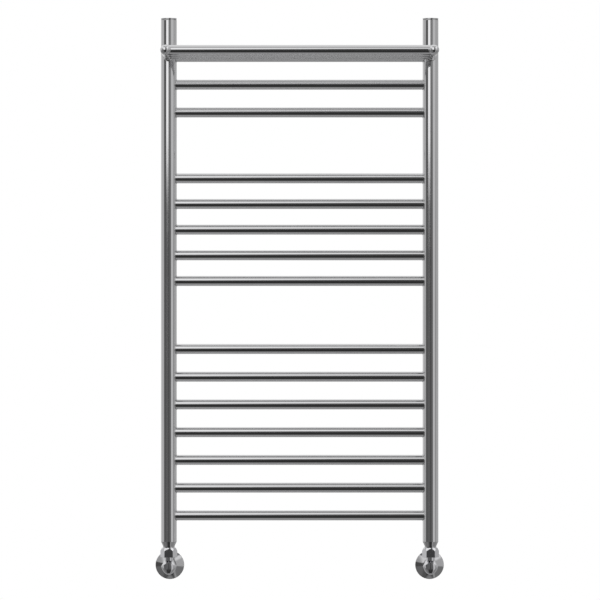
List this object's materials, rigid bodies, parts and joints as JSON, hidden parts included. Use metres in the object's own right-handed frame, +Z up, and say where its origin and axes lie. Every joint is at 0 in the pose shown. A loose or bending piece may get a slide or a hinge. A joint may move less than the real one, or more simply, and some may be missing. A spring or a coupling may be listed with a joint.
{
  "type": "ladder towel rail",
  "caption": "Wall-mounted water-heated ladder towel rail of polished tube, with a towel shelf on two arms, union nuts, angle fittings and wall rosettes.",
  "frame": {"origin": "on the wall plane, at the centre of the rectangle of the four bracket screws", "axes": "+X to the right seen from the front, +Y into the wall, +Z up along the collectors"},
  "size_m": [0.555, 0.3205, 1.0757],
  "materials": {
    "polished_steel": "mirror-polished stainless steel tube",
    "chromed_brass": "bright chrome plate on brass",
    "gasket_rubber": "matt black rubber",
    "zinc_steel": "bright zinc plate on steel"
  },
  "bodies": {
    "wall_side": {"bracket_base_lower_left": "zinc_steel", "bracket_base_lower_right": "zinc_steel", "bracket_base_upper_left": "zinc_steel", "bracket_base_upper_right": "zinc_steel", "bracket_sleeve_lower_left": "chromed_brass", "bracket_sleeve_lower_right": "chromed_brass", "bracket_sleeve_upper_left": "chromed_brass", "bracket_sleeve_upper_right": "chromed_brass", "sleeve_grub_screws": "zinc_steel", "wall_screws": "zinc_steel"},
    "nut_left": {"union_nut_left": "chromed_brass"},
    "cover_left": {"rosette_left": "chromed_brass"},
    "bleed_left": {"bleed_screw_left": "chromed_brass"},
    "nut_right": {"union_nut_right": "chromed_brass"},
    "cover_right": {"rosette_right": "chromed_brass"},
    "bleed_right": {"bleed_screw_right": "chromed_brass"},
    "rail": {"angle_fitting_left": "chromed_brass", "angle_fitting_right": "chromed_brass", "bleed_boss_left": "polished_steel", "bleed_boss_right": "polished_steel", "bleed_valve_left": "chromed_brass", "bleed_valve_right": "chromed_brass", "bracket_stud_lower_left": "polished_steel", "bracket_stud_lower_right": "polished_steel", "bracket_stud_upper_left": "polished_steel", "bracket_stud_upper_right": "polished_steel", "collector_cap_left": "polished_steel", "collector_cap_right": "polished_steel", "collector_left": "polished_steel", "collector_right": "polished_steel", "nipple_left": "polished_steel", "nipple_right": "polished_steel", "rung_01": "polished_steel", "rung_02": "polished_steel", "rung_03": "polished_steel", "rung_04": "polished_steel", "rung_05": "polished_steel", "rung_06": "polished_steel", "rung_07": "polished_steel", "rung_08": "polished_steel", "rung_09": "polished_steel", "rung_10": "polished_steel", "rung_11": "polished_steel", "rung_12": "polished_steel", "rung_13": "polished_steel", "rung_14": "polished_steel", "rung_15": "polished_steel", "shelf_arm_cap_left": "polished_steel", "shelf_arm_cap_right": "polished_steel", "shelf_arm_left": "polished_steel", "shelf_arm_right": "polished_steel", "shelf_tube_front": "polished_steel", "shelf_tube_middle": "polished_steel", "shelf_tube_rear": "polished_steel", "union_gasket_left": "gasket_rubber", "union_gasket_right": "gasket_rubber"}
  },
  "joints": [
    {"name": "rail_depth", "type": "slide", "parent": "wall_side", "child": "rail", "axis": [0, 1, 0], "range_m": [-0.008, 0.012]},
    {"name": "union_nut_left_turn", "type": "hinge", "parent": "rail", "child": "nut_left", "pos_m": [-0.25, -0.062, -0.4659], "axis": [0, 0, 1], "continuous": true},
    {"name": "rosette_left_slide", "type": "slide", "parent": "wall_side", "child": "cover_left", "axis": [0, -1, 0], "range_m": [0, 0.02]},
    {"name": "bleed_left_turn", "type": "hinge", "parent": "rail", "child": "bleed_left", "pos_m": [-0.25, -0.037, 0.53], "axis": [0, 1, 0], "range_deg": [0, 360]},
    {"name": "union_nut_right_turn", "type": "hinge", "parent": "rail", "child": "nut_right", "pos_m": [0.25, -0.062, -0.4659], "axis": [0, 0, 1], "continuous": true},
    {"name": "rosette_right_slide", "type": "slide", "parent": "wall_side", "child": "cover_right", "axis": [0, -1, 0], "range_m": [0, 0.02]},
    {"name": "bleed_right_turn", "type": "hinge", "parent": "rail", "child": "bleed_right", "pos_m": [0.25, -0.037, 0.53], "axis": [0, 1, 0], "range_deg": [0, 360]}
  ]
}
